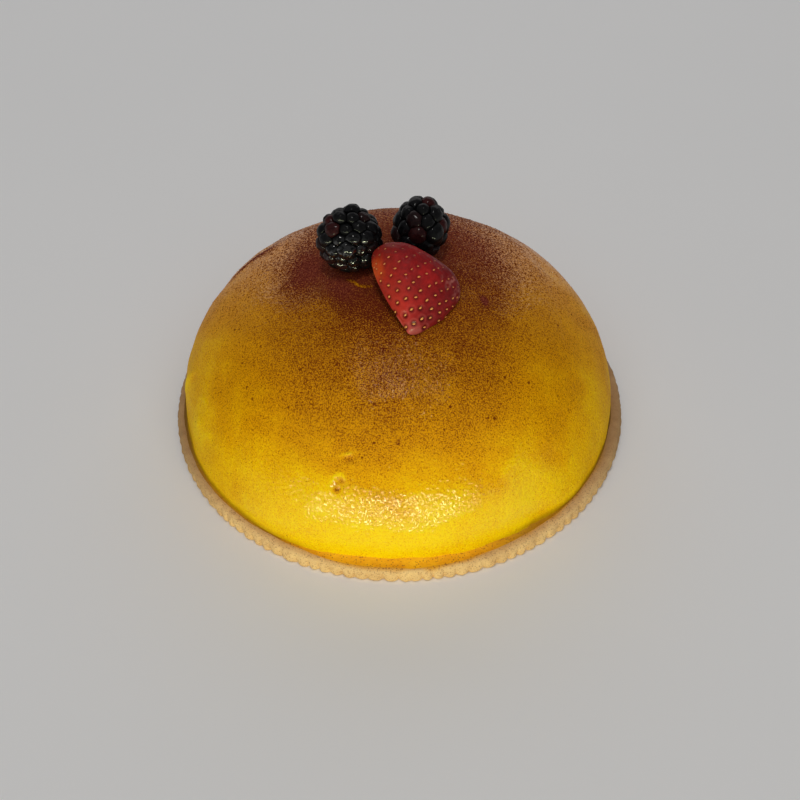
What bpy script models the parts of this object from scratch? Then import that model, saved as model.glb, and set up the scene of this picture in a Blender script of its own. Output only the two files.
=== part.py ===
"""A glazed mousse dome on a thin fluted biscuit, with two brambles and half a strawberry on top.

Metres, +Z up. The origin is the middle of the biscuit's underside, and -Y is the front.
"""
import math

import bmesh
import bpy
from mathutils import Euler, Matrix, Vector

MM = 0.001
CONTACT_GAP = 0.3 * MM            # left between pieces that rest on each other

# biscuit: a fluted disc, rolled thin, its top edge softened in the oven
BISCUIT_RADIUS = 94.7 * MM        # over the crests of the flutes
BISCUIT_HEIGHT = 6.4 * MM
BISCUIT_EDGE = 1.3 * MM           # height and depth of the softened top edge
FLUTE_COUNT = 120
FLUTE_DEPTH = 1.6 * MM
POINTS_PER_FLUTE = 4

# dome: mousse unmoulded from a bowl 180 mm across
DOME_RADIUS = 90.0 * MM
DOME_HEIGHT = 71.0 * MM
DOME_OFFSET = (-0.9 * MM, 0.1 * MM)
DOME_BASE = BISCUIT_HEIGHT + CONTACT_GAP
DOME_ROUND = 1.85                 # powers of the superellipse, across and up
DOME_RISE = 2.10
DOME_FOOT = 1.2 * MM              # glaze that ran down and set round the foot
DOME_RINGS = 14
DOME_STEPS = 60

# brambles: centre, half width, half height, drupelet radius, turn about the upright axis
BRAMBLES = {
    "bramble_left": (Vector((-18.4, 1.6, 88.0)) * MM, 13.0 * MM, 13.8 * MM, 2.75 * MM, 0.2),
    "bramble_right": (Vector((8.4, 9.5, 88.0)) * MM, 11.8 * MM, 12.4 * MM, 3.15 * MM, 0.9),
}
DRUPELET_PITCH = 1.75             # spacing of the drupelets over their radius
DRUPELET_LOWEST = 128.0           # degrees from the berry's tip; below this is its stem end
DRUPELET_PROUD = 0.65             # how far they stand out of the core, over their radius
DRUPELET_SIDES = 6
DRUPELET_RINGS = 4

# strawberry: a half lying on its cut face, its point towards the front
STRAWBERRY_CENTRE = Vector((1.8, -14.8, 81.9)) * MM
STRAWBERRY_TURN = Euler((math.radians(16.6), math.radians(25.8), math.radians(-15.1)), "YXZ")
STRAWBERRY_LENGTH = 32.1 * MM
STRAWBERRY_ORIGIN = 0.33          # where the centre lies, as a share of the length from the shoulder
STRAWBERRY_LEFT = 13.0 * MM       # half widths at the fullest place of each side
STRAWBERRY_RIGHT = 23.6 * MM
STRAWBERRY_THICK = 12.7 * MM
STRAWBERRY_SKEW = 11.8 * MM       # how far the point leans to the right of the shoulder
LEFT_POWERS = (0.56, 1.14)        # how blunt the shoulder and the point are, on each side
RIGHT_POWERS = (0.20, 0.86)


def material(name, colour, roughness, metallic=0.0):
    made = bpy.data.materials.new(name)
    made.use_nodes = True
    shader = made.node_tree.nodes["Principled BSDF"]
    shader.inputs["Base Color"].default_value = (*colour, 1.0)
    shader.inputs["Roughness"].default_value = roughness
    shader.inputs["Metallic"].default_value = metallic
    return made


def add_object(name, mesh, collection, finish=None):
    made = bpy.data.objects.new(name, mesh)
    collection.objects.link(made)
    if finish:
        mesh.materials.append(finish)
    return made


def add_mesh(name, bm, collection, finish=None):
    mesh = bpy.data.meshes.new(name)
    bmesh.ops.recalc_face_normals(bm, faces=bm.faces)
    if bm.calc_volume(signed=True) < 0.0:
        bmesh.ops.reverse_faces(bm, faces=bm.faces)
    bm.to_mesh(mesh)
    bm.free()
    return add_object(name, mesh, collection, finish)


def smooth(piece, degrees):
    piece.data.shade_smooth()
    piece.data.set_sharp_from_angle(angle=math.radians(degrees))


def add_cutter(name, mesh_or_bm, cutters):
    build = add_mesh if isinstance(mesh_or_bm, bmesh.types.BMesh) else add_object
    cutter = build(name, mesh_or_bm, cutters)
    cutter.hide_render = True
    cutter.display_type = "WIRE"
    return cutter


def boolean(piece, other, operation):
    step = piece.modifiers.new(operation.lower(), "BOOLEAN")
    step.operation = operation
    step.object = other
    step.solver = "EXACT"
    step.use_self = operation == "UNION"


def fluted_edge(index, crest_radius, depth, height):
    """One point of the biscuit's outline: round flutes that meet in narrow notches."""
    turn = index / POINTS_PER_FLUTE
    flute = abs(math.cos(math.pi * turn))
    radius = crest_radius - depth * (1.0 - flute)
    angle = 2.0 * math.pi * turn / FLUTE_COUNT
    return Vector((radius * math.cos(angle), radius * math.sin(angle), height))


def build_biscuit(parts):
    levels = (
        (BISCUIT_RADIUS, FLUTE_DEPTH, 0.0),
        (BISCUIT_RADIUS, FLUTE_DEPTH, BISCUIT_HEIGHT - BISCUIT_EDGE),
        (BISCUIT_RADIUS - BISCUIT_EDGE, 0.4 * FLUTE_DEPTH, BISCUIT_HEIGHT),
    )
    bm = bmesh.new()
    outline = FLUTE_COUNT * POINTS_PER_FLUTE
    bmesh.ops.create_circle(bm, cap_ends=True, segments=outline, radius=BISCUIT_RADIUS)
    top = bm.faces[:][0]
    for number, (crest, depth, height) in enumerate(levels):
        if number:
            grown = bmesh.ops.extrude_face_region(bm, geom=[top] + top.edges[:])["geom"]
            top = next(item for item in grown if isinstance(item, bmesh.types.BMFace))
        for vert in top.verts:
            index = round(math.atan2(vert.co.y, vert.co.x) / (2.0 * math.pi) * outline)
            vert.co = fluted_edge(index, crest, depth, height)
    biscuit = add_mesh("biscuit_base", bm, parts, material("biscuit", (0.60, 0.38, 0.20), 0.85))
    smooth(biscuit, 35)
    return biscuit


def dome_profile(grown=0.0):
    """The dome's outside from the top down, then in along its underside; grown makes it larger."""
    points = [(0.0, DOME_HEIGHT + grown)]
    for ring in range(1, DOME_RINGS + 1):
        angle = 0.5 * math.pi * (1.0 - ring / DOME_RINGS)
        across = (DOME_RADIUS + grown) * math.cos(angle) ** (2.0 / DOME_ROUND)
        up = (DOME_HEIGHT + grown) * math.sin(angle) ** (2.0 / DOME_RISE)
        if up >= 2.0 * DOME_FOOT:
            points.append((across, up))
    points.append((DOME_RADIUS + grown, 1.6 * DOME_FOOT))
    points.append((DOME_RADIUS + DOME_FOOT + grown, 0.0))
    points.append((0.0, 0.0))
    return points


def turned(points):
    """The open outline of a turned piece, from the axis at the top to the axis at the bottom."""
    mesh = bpy.data.meshes.new("turned")
    edges = [(index, index + 1) for index in range(len(points) - 1)]
    mesh.from_pydata([(across, 0.0, up) for across, up in points], edges, [])
    return mesh


def add_screw(piece):
    screw = piece.modifiers.new("turn", "SCREW")
    screw.steps = DOME_STEPS
    screw.render_steps = DOME_STEPS
    screw.use_merge_vertices = True
    screw.merge_threshold = 0.00001
    screw.use_smooth_shade = True


def build_dome(parts):
    glaze = material("glaze", (0.80, 0.46, 0.01), 0.3)
    dome = add_object("mousse_dome", turned(dome_profile()), parts, glaze)
    dome.location = (*DOME_OFFSET, DOME_BASE)
    add_screw(dome)
    return dome


def build_seat(cutters):
    """The dome grown by the contact gap: it trims the fruit where it sits on the glaze."""
    seat = add_cutter("seat", turned(dome_profile(CONTACT_GAP)), cutters)
    seat.location = (*DOME_OFFSET, DOME_BASE)
    add_screw(seat)
    return seat


def drupelet_centres(half_width, half_height, radius, turn):
    """Drupelets in rows round an upright berry, each row turned half a step from the last."""
    wide = half_width - radius
    tall = half_height - radius
    pitch = DRUPELET_PITCH * radius
    lowest = math.radians(DRUPELET_LOWEST)
    rows = round(lowest * tall / (0.9 * pitch))
    for row in range(rows + 1):
        polar = lowest * row / rows
        around = max(1, round(2.0 * math.pi * wide * math.sin(polar) / pitch))
        for step in range(around):
            angle = 2.0 * math.pi * (step + 0.5 * (row % 2)) / around + turn
            yield Vector((wide * math.sin(polar) * math.cos(angle),
                          wide * math.sin(polar) * math.sin(angle),
                          tall * math.cos(polar)))


def build_bramble(name, parts, cutters, seat, finish):
    centre, half_width, half_height, radius, turn = BRAMBLES[name]
    proud = DRUPELET_PROUD * radius
    oval = Matrix.Diagonal((half_width - proud, half_width - proud, half_height - proud, 1.0))
    core = bmesh.new()
    bmesh.ops.create_icosphere(core, subdivisions=2, radius=1.0, matrix=Matrix.Translation(centre) @ oval)
    berry = add_mesh(name, core, parts, finish)
    drupelets = bmesh.new()
    for place in drupelet_centres(half_width, half_height, radius, turn):
        outward = Vector((0, 0, 1)).rotation_difference(place).to_matrix().to_4x4()
        bmesh.ops.create_uvsphere(drupelets, u_segments=DRUPELET_SIDES, v_segments=DRUPELET_RINGS,
                                  radius=radius, matrix=Matrix.Translation(centre + place) @ outward)
    boolean(berry, add_cutter(name + "_drupelets", drupelets, cutters), "UNION")
    boolean(berry, seat, "DIFFERENCE")
    smooth(berry, 50)
    return berry


def girth(along, powers):
    """Half width as a share of the fullest one, at a share of the length from the shoulder."""
    shoulder, point = powers
    fullest = shoulder / (shoulder + point)
    return (along / fullest) ** shoulder * ((1.0 - along) / (1.0 - fullest)) ** point


def build_strawberry(parts, seat):
    bm = bmesh.new()
    to_front = Matrix.Rotation(math.radians(90), 4, "X")
    bmesh.ops.create_uvsphere(bm, u_segments=28, v_segments=16, radius=1.0, matrix=to_front)
    below = bmesh.ops.bisect_plane(bm, geom=bm.verts[:] + bm.edges[:] + bm.faces[:], dist=1e-6,
                                   plane_co=(0, 0, 0), plane_no=(0, 0, 1), clear_inner=True)["geom_cut"]
    rim = [item for item in below if isinstance(item, bmesh.types.BMEdge)]
    bmesh.ops.contextual_create(bm, geom=rim)
    for vert in bm.verts:
        along = min(max(0.5 * (1.0 - vert.co.y), 0.0), 1.0)
        left = girth(along, LEFT_POWERS)
        right = girth(along, RIGHT_POWERS)
        ring = max(math.hypot(vert.co.x, vert.co.z), 1e-9)
        half_width = STRAWBERRY_LEFT * left if vert.co.x < 0 else STRAWBERRY_RIGHT * right
        thickness = STRAWBERRY_THICK * (left + right) / 2
        vert.co = Vector((vert.co.x / ring * half_width + STRAWBERRY_SKEW * (along - STRAWBERRY_ORIGIN),
                          -STRAWBERRY_LENGTH * (along - STRAWBERRY_ORIGIN),
                          vert.co.z / ring * thickness))
    strawberry = add_mesh("strawberry_half", bm, parts, material("strawberry", (0.40, 0.02, 0.02), 0.4))
    strawberry.location = STRAWBERRY_CENTRE
    strawberry.rotation_mode = STRAWBERRY_TURN.order
    strawberry.rotation_euler = STRAWBERRY_TURN
    boolean(strawberry, seat, "DIFFERENCE")
    smooth(strawberry, 40)
    return strawberry


def main():
    for item in list(bpy.data.objects):
        bpy.data.objects.remove(item)
    parts = bpy.data.collections.new("bombe")
    cutters = bpy.data.collections.new("cutters")
    bpy.context.scene.collection.children.link(parts)
    bpy.context.scene.collection.children.link(cutters)
    seat = build_seat(cutters)
    build_biscuit(parts)
    build_dome(parts)
    dark_fruit = material("bramble", (0.012, 0.010, 0.014), 0.3)
    for name in BRAMBLES:
        build_bramble(name, parts, cutters, seat, dark_fruit)
    build_strawberry(parts, seat)


main()
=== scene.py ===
import math

import bmesh
import bpy
import numpy as np
from mathutils import Euler, Matrix, Vector


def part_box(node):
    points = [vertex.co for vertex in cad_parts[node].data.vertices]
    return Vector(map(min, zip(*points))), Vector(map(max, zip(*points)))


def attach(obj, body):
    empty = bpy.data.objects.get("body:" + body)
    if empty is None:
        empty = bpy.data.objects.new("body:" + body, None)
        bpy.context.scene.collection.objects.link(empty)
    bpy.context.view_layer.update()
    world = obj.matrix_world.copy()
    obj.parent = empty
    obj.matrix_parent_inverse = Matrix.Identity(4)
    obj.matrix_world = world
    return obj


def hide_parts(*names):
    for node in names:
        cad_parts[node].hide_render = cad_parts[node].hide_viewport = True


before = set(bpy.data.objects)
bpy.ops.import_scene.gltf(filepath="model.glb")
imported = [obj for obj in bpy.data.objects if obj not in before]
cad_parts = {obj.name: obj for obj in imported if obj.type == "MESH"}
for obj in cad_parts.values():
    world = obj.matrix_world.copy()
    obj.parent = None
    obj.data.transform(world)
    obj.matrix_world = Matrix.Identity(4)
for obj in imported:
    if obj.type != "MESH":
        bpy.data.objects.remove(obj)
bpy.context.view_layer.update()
mm = 0.001
print("frame loaded:", ", ".join(sorted(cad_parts)))


def deselect():
    bpy.ops.object.select_all(action="DESELECT")


def named(name):
    # takes the primitive that was just added and gives it its name
    piece = bpy.context.object
    piece.name = name
    piece.data.name = name
    return piece


def pickFaces(piece, test):
    # in edit mode: selects the faces whose middle and normal pass the test
    shape = bmesh.from_edit_mesh(piece.data)
    for face in shape.faces:
        face.select_set(test(face.calc_center_median(), face.normal))
    shape.select_flush_mode()
    bmesh.update_edit_mesh(piece.data)


def pointsOf(piece):
    flat = np.empty(len(piece.data.vertices) * 3, np.float32)
    piece.data.vertices.foreach_get("co", flat)
    return flat.reshape(-1, 3).astype(float)


def movePoints(piece, points):
    piece.data.vertices.foreach_set("co", points.astype(np.float32).ravel())
    piece.data.update()


def paintPoints(piece, name, values):
    # one number for each point, which the material reads as an attribute
    layer = piece.data.attributes.new(name, "FLOAT", "POINT")
    layer.data.foreach_set("value", np.asarray(values, np.float32))


def ripple(points, length, seed):
    # a random swell with about that wavelength; its usual height is 1
    waves = 26
    chance = np.random.default_rng(seed)
    ways = chance.normal(size=(waves, 3))
    ways /= np.linalg.norm(ways, axis=1)[:, None]
    ways *= 2.0 * math.pi / length * chance.uniform(0.7, 1.4, (waves, 1))
    starts = chance.uniform(0.0, 2.0 * math.pi, waves)
    total = np.zeros(len(points))
    for way, start in zip(ways, starts):
        total += np.cos(points @ way + start)
    return total / math.sqrt(waves / 2.0)


def unevenness(points, swells):
    # the sum of ripples, each with a height, a wavelength and a seed
    return sum(height * ripple(points, length, seed) for height, length, seed in swells)


def ease(values, low, high):
    # 0 below low, 1 above high, and a smooth change between them
    part = np.clip((values - low) / (high - low), 0.0, 1.0)
    return part * part * (3.0 - 2.0 * part)


def band(values, low, full, fade, high):
    # 1 between full and fade, and 0 below low and above high
    return ease(values, low, full) * (1.0 - ease(values, fade, high))


def smoothShade(piece, degrees):
    deselect()
    piece.select_set(True)
    bpy.context.view_layer.objects.active = piece
    bpy.ops.object.shade_smooth_by_angle(angle=math.radians(degrees))


def halfBall(name, detail):
    # the upper half of a ball of radius 1, closed below and left in edit mode
    deselect()
    bpy.ops.mesh.primitive_ico_sphere_add(subdivisions=detail, radius=1.0)
    piece = named(name)
    bpy.ops.object.mode_set(mode="EDIT")
    bpy.ops.mesh.select_all(action="SELECT")
    bpy.ops.mesh.bisect(plane_co=(0, 0, 0), plane_no=(0, 0, 1), clear_inner=True, use_fill=True)
    return piece


def stretched(name, size):
    # names the primitive that was just added and resizes its mesh
    piece = named(name)
    bpy.ops.object.mode_set(mode="EDIT")
    bpy.ops.mesh.select_all(action="SELECT")
    bpy.ops.transform.resize(value=size)
    bpy.ops.object.mode_set(mode="OBJECT")
    return piece


def turnedTo(way):
    # the turn that points a pattern's top that way
    return Vector((0, 0, 1)).rotation_difference(Vector(way)).to_matrix()


def copiesOf(pattern, name, spots):
    # joined copies of a small pattern piece: each spot is a place, a 3x3 turn and size, and a tint
    # from 0 to 1
    shape = pointsOf(pattern)
    corners = np.array([list(face.vertices) for face in pattern.data.polygons])
    turned = np.einsum("nij,vj->nvi", np.array([turn for _, turn, _ in spots]), shape)
    everyPoint = turned + np.array([place for place, _, _ in spots])[:, None, :]
    everyFace = corners[None] + (np.arange(len(spots)) * len(shape))[:, None, None]
    mesh = bpy.data.meshes.new(name)
    mesh.from_pydata(everyPoint.reshape(-1, 3), [], everyFace.reshape(-1, corners.shape[1]).tolist())
    piece = bpy.data.objects.new(name, mesh)
    bpy.context.scene.collection.objects.link(piece)
    paintPoints(piece, "tint", np.repeat([tint for _, _, tint in spots], len(shape)))
    bpy.data.objects.remove(pattern)
    return piece


def onRoot(piece, slot, *nodes):
    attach(piece, "root")
    if nodes:
        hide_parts(*nodes)


class Flow:
    # a socket's output; + - * and / on it add Math nodes to its material
    def __init__(self, finish, socket):
        self.finish = finish
        self.socket = socket

    def __add__(self, other):
        return self.finish.sum("ADD", self, other)

    def __sub__(self, other):
        return self.finish.sum("SUBTRACT", self, other)

    def __rsub__(self, other):
        return self.finish.sum("SUBTRACT", other, self)

    def __mul__(self, other):
        return self.finish.sum("MULTIPLY", self, other)

    def __truediv__(self, other):
        return self.finish.sum("DIVIDE", self, other)


class Finish:
    # one material, with short ways to add its nodes
    def __init__(self, name):
        self.material = bpy.data.materials.new(name)
        self.material.use_nodes = True
        self.tree = self.material.node_tree
        self.shader = self.tree.nodes["Principled BSDF"]
        self.output = self.tree.nodes["Material Output"]
        self.place = None

    def node(self, kind, settings, values, output=0):
        made = self.tree.nodes.new(kind)
        for name, value in settings.items():
            setattr(made, name, value)
        self.fill(made, values)
        return Flow(self, made.outputs[output])

    def fill(self, node, values):
        for name, value in values.items():
            socket = node.inputs[name]
            if isinstance(value, Flow):
                self.tree.links.new(value.socket, socket)
            elif socket.type == "RGBA":
                socket.default_value = (*value, 1.0)
            else:
                socket.default_value = value

    def sum(self, operation, first, second):
        return self.node("ShaderNodeMath", {"operation": operation}, {0: first, 1: second})

    def vectors(self, operation, values, output=0):
        return self.node("ShaderNodeVectorMath", {"operation": operation}, values, output)

    def clamp(self, value):
        return self.node("ShaderNodeClamp", {}, {"Value": value})

    def between(self, value, low, high):
        # 0 at low, 1 at high, smooth between; low may be the larger of the two
        settings = {"interpolation_type": "SMOOTHSTEP"}
        values = {"Value": value, "From Min": low, "From Max": high}
        return self.node("ShaderNodeMapRange", settings, values)

    def spots(self):
        # the object's own coordinates, in metres
        if self.place is None:
            self.place = self.node("ShaderNodeTexCoord", {}, {}, "Object")
        return self.place

    def noise(self, size, detail=2.0, roughness=0.5, place=None):
        values = {"Vector": place or self.spots(), "Scale": 1.0 / size,
                  "Detail": detail, "Roughness": roughness}
        return self.node("ShaderNodeTexNoise", {}, values, "Fac")

    def cells(self, size, place=None):
        # distance to the nearest of scattered spots, and one random number for each spot
        values = {"Vector": place or self.spots(), "Scale": 1.0 / size}
        away = self.node("ShaderNodeTexVoronoi", {}, values, "Distance")
        colours = Flow(self, away.socket.node.outputs["Color"])
        return away, self.node("ShaderNodeSeparateColor", {}, {"Color": colours}, "Red")

    def bentSpots(self, size, far):
        # the coordinates pushed about by a noise, so that round cells become ragged
        push = self.node("ShaderNodeTexNoise", {}, {"Vector": self.spots(), "Scale": 1.0 / size}, "Color")
        centred = self.vectors("SUBTRACT", {0: push, 1: (0.5, 0.5, 0.5)})
        scaled = self.vectors("SCALE", {0: centred, "Scale": far})
        return self.vectors("ADD", {0: self.spots(), 1: scaled})

    def painted(self, name):
        return self.node("ShaderNodeAttribute", {"attribute_name": name}, {}, "Fac")

    def ramp(self, value, stops):
        made = self.node("ShaderNodeValToRGB", {}, {"Fac": value}, "Color")
        elements = made.socket.node.color_ramp.elements
        elements.remove(elements[-1])
        for number, (at, colour) in enumerate(stops):
            stop = elements.new(at) if number else elements[0]
            stop.position = at
            stop.color = (*colour, 1.0)
        return made

    def mix(self, factor, first, second):
        made = self.tree.nodes.new("ShaderNodeMix")
        made.data_type = "RGBA"
        self.fill(made, {0: factor, 6: first, 7: second})
        return Flow(self, made.outputs[2])

    def bump(self, height):
        # height in millimetres
        return self.node("ShaderNodeBump", {}, {"Height": height, "Distance": mm}, "Normal")

    def mixShaders(self, factor, second):
        # the first shader is the material's own; the second shows where factor is 1
        blend = self.node("ShaderNodeMixShader", {}, {0: factor})
        self.tree.links.new(self.shader.outputs[0], blend.socket.node.inputs[1])
        self.tree.links.new(second.outputs[0], blend.socket.node.inputs[2])
        self.tree.links.new(blend.socket, self.output.inputs["Surface"])

    def give(self, piece):
        piece.data.materials.append(self.material)


camera = {
    "stands": Vector((0.18, -362.33, 370.43)) * mm,
    "looksAt": Vector((0.18, 2.07, 0.0)) * mm,
    "roll": -0.0073,                 # radians
    "lens": 54.0,
    "sensor": 36.0,
}


def setCamera():
    ahead = (camera["looksAt"] - camera["stands"]).normalized()
    right = ahead.cross(Vector((0, 0, 1))).normalized()
    level = Matrix((right, right.cross(ahead), -ahead)).transposed()
    deselect()
    bpy.ops.object.camera_add(location=camera["stands"])
    shot = bpy.context.object
    shot.rotation_euler = (level @ Matrix.Rotation(camera["roll"], 3, "Z")).to_euler()
    shot.data.sensor_width = camera["sensor"]
    shot.data.lens = camera["lens"]
    shot.data.clip_start = 0.01
    shot.data.dof.use_dof = False
    bpy.context.scene.camera = shot


# each lamp: its bearing from the front (degrees, to the right) and height above the horizon (degrees),
# its distance from the cake and its size (metres), its power (watts), spread (degrees) and colour,
# and whether it shows as a sheen
lamps = {
    "frontStrip": (-4.0, -3.0, 0.46, (0.62, 0.015), 0.57, 110.0, (0.95, 1.0, 0.62), True),
    "ceilingLamp": (-14.0, 79.0, 2.00, (0.28, 0.28), 7.0, 180.0, (1.0, 0.97, 0.93), True),
    "softPanel": (2.0, 56.0, 1.80, (2.60, 1.60), 10.0, 180.0, (1.0, 0.975, 0.94), False),
    "backPanel": (180.0, 24.0, 1.60, (2.40, 1.00), 6.6, 180.0, (1.0, 0.97, 0.96), True),
}
lampAim = Vector((0, 0, 35)) * mm
roomLight = {"colour": (0.97, 0.98, 1.0), "strength": 0.13}


def setLamps():
    for name, (bearing, height, distance, size, power, spread, colour, sheen) in lamps.items():
        turn = math.radians(bearing)
        lift = math.radians(height)
        away = Vector((math.sin(turn) * math.cos(lift), -math.cos(turn) * math.cos(lift), math.sin(lift)))
        deselect()
        bpy.ops.object.light_add(type="AREA", location=lampAim + away * distance)
        lamp = bpy.context.object
        lamp.name = name
        lamp.rotation_euler = away.to_track_quat("Z", "Y").to_euler()
        lamp.data.shape = "RECTANGLE"
        lamp.data.size, lamp.data.size_y = size
        lamp.data.energy = power
        lamp.data.spread = math.radians(spread)
        lamp.data.color = colour
        lamp.visible_camera = False
        lamp.visible_glossy = sheen
    room = bpy.data.worlds.new("room")
    room.use_nodes = True
    light = room.node_tree.nodes["Background"].inputs
    light["Color"].default_value = (*roomLight["colour"], 1.0)
    light["Strength"].default_value = roomLight["strength"]
    bpy.context.scene.world = room
    bpy.context.scene.view_settings.view_transform = "Standard"


def setFloor():
    deselect()
    bpy.ops.mesh.primitive_plane_add(size=8.0)
    floor = named("floor")
    paper = Finish("paleFloor")
    tone = paper.ramp(paper.noise(0.35, 3.0), [(0.3, (0.87, 0.88, 0.89)), (0.7, (0.89, 0.90, 0.91))])
    paper.fill(paper.shader, {"Base Color": tone, "Roughness": 0.9, "Specular IOR Level": 0.1})
    paper.give(floor)
    # the low strip lights the cake but draws no band on the floor
    spared = bpy.data.collections.new("sparedFloor")
    spared.objects.link(floor)
    spared.collection_objects[0].light_linking.link_state = "EXCLUDE"
    bpy.data.objects["frontStrip"].light_linking.receiver_collection = spared


setCamera()
setLamps()
setFloor()
print("camera, lamps and floor are set")


domeLow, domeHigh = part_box("mousse_dome")
dome = {
    "foot": 1.2 * mm,                # the solid's base is this much wider than the dome
    "round": 1.85,                   # powers of the superellipse, across and up
    "rise": 2.10,
    "detail": 8,
    # slow unevenness and orange peel: height, wavelength, seed
    "swells": ((0.30 * mm, 60 * mm, 5), (0.10 * mm, 17 * mm, 6), (0.022 * mm, 2.6 * mm, 7)),
    # where a finish changes from and to: round from the front (0) to the back (1), and in degrees
    # down from the top or up from the foot
    "coarseAndSheenRound": (0.25, 0.75), "coarseAndSheenDown": (14.0, 32.0),
    "dryRound": (0.13, 0.28), "dryDown": (30.0, 55.0), "backRound": (0.52, 0.70), "dryUp": (3.0, 9.0),
    "footShadeRound": (0.07, 0.22), "footShadeUp": (0.3, 3.0),
    # how dry the walls are, the share of it lost at the back, how dry the foot is, and how dark the painted
    # shade at the foot is
    "dryWalls": 0.92, "wetterBack": 0.6, "dryFoot": 0.85, "footShadeAmount": 0.75,
}
domeMiddle = (domeLow + domeHigh) / 2
domeBase = domeLow.z
domeRadius = (domeHigh.x - domeLow.x) / 2 - dome["foot"]
domeHeight = domeHigh.z - domeLow.z


def roundMiddle(turn, across, height):
    # places at a bearing from the front, in radians, and that far from the dome's middle
    return np.stack([domeMiddle.x + across * np.sin(turn), domeMiddle.y - across * np.cos(turn),
                     height], axis=-1)


def domeSpot(turn, rise):
    # the point of the smooth dome at a bearing from the front and a step up its arc, both in degrees
    rise = np.radians(rise)
    across = domeRadius * np.cos(rise) ** (2.0 / dome["round"])
    up = domeHeight * np.sin(rise) ** (2.0 / dome["rise"])
    return roundMiddle(np.radians(turn), across, domeBase + up)


def domeOutward(points):
    # the smooth dome's normals at points on it
    side = points[:, :2] - np.array([domeMiddle.x, domeMiddle.y])
    across = np.maximum(np.linalg.norm(side, axis=1), 1e-9)
    up = np.clip((points[:, 2] - domeBase) / domeHeight, 0.0, None)
    level = dome["round"] / domeRadius * (across / domeRadius) ** (dome["round"] - 1.0)
    lift = dome["rise"] / domeHeight * up ** (dome["rise"] - 1.0)
    normals = np.concatenate([side / across[:, None] * level[:, None], lift[:, None]], axis=1)
    return normals / np.linalg.norm(normals, axis=1)[:, None]


def domeTop(x, y):
    # the smooth dome's height above a place in plan
    across = np.hypot(x - domeMiddle.x, y - domeMiddle.y) / domeRadius
    return domeBase + domeHeight * np.clip(1.0 - across ** dome["round"], 0.0, 1.0) ** (1.0 / dome["rise"])


def spotAxes(points, turn, rise, slant):
    # millimetres along, across and out from a spot of the dome, the first two turned by slant
    spot = domeSpot(turn, rise)
    outward = domeOutward(spot[None])[0]
    level = np.array([math.cos(math.radians(turn)), math.sin(math.radians(turn)), 0.0])
    upward = np.cross(outward, level)
    lean = math.radians(slant)
    away = (points - spot) / mm
    return (away @ (level * math.cos(lean) + upward * math.sin(lean)),
            away @ (upward * math.cos(lean) - level * math.sin(lean)), away @ outward)


def nearness(points, turn, rise, wide, tall, slant):
    # 1 at a spot of the dome and falling away over wide and tall, in millimetres
    along, across, out = spotAxes(points, turn, rise, slant)
    return np.exp(-(along / wide) ** 2 - (across / tall) ** 2 - (out / max(wide, tall)) ** 2)


def lineAway(points, line):
    # millimetres from each point to a line drawn on the dome, and how far along it that is, from 0 to 1
    turns, rises = np.array(line, float).T
    knots = np.linspace(0.0, 1.0, len(line))
    way = np.linspace(0.0, 1.0, 14 * len(line))
    away = np.full(len(points), 99.0)
    share = np.zeros(len(points))
    for at in way:
        spot = domeSpot(np.interp(at, knots, turns), np.interp(at, knots, rises))
        gone = np.linalg.norm(points - spot, axis=1) / mm
        share = np.where(gone < away, at, share)
        away = np.minimum(away, gone)
    return away, share


# broad bumps and hollows: turn, rise (degrees), wide, tall, out (mm), slant (degrees)
domeBumps = (
    (0.0, 0.5, 26.0, 10.0, -0.6, 0.0),        # the front of the foot is drawn in
    (-6.0, 18.0, 34.0, 8.0, -0.40, 0.0),
    (-36.0, 3.0, 24.0, 12.0, 0.6, 0.0),
    (-72.0, 6.0, 15.0, 14.0, -0.7, 0.0),
    (36.0, 2.0, 8.0, 9.0, -0.7, 0.0),
    (48.0, 4.0, 11.0, 12.0, 0.6, 0.0),
    (-81.0, 16.0, 4.5, 8.0, 0.9, 0.0),        # the thick drop on the left
    (-66.0, 15.5, 4.0, 3.0, 0.35, 0.0),
    (110.5, 40.0, 9.0, 8.0, -1.1, 0.0),       # pressed right shoulder
    (-97.0, 30.0, 14.0, 12.0, 0.35, 0.0),
    (38.0, 15.0, 15.0, 9.0, -0.35, 10.0),     # wiped place at the front right
    (150.0, 25.0, 20.0, 15.0, -0.5, 0.0),
    (-160.0, 12.0, 24.0, 12.0, 0.5, 0.0),
)
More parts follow.
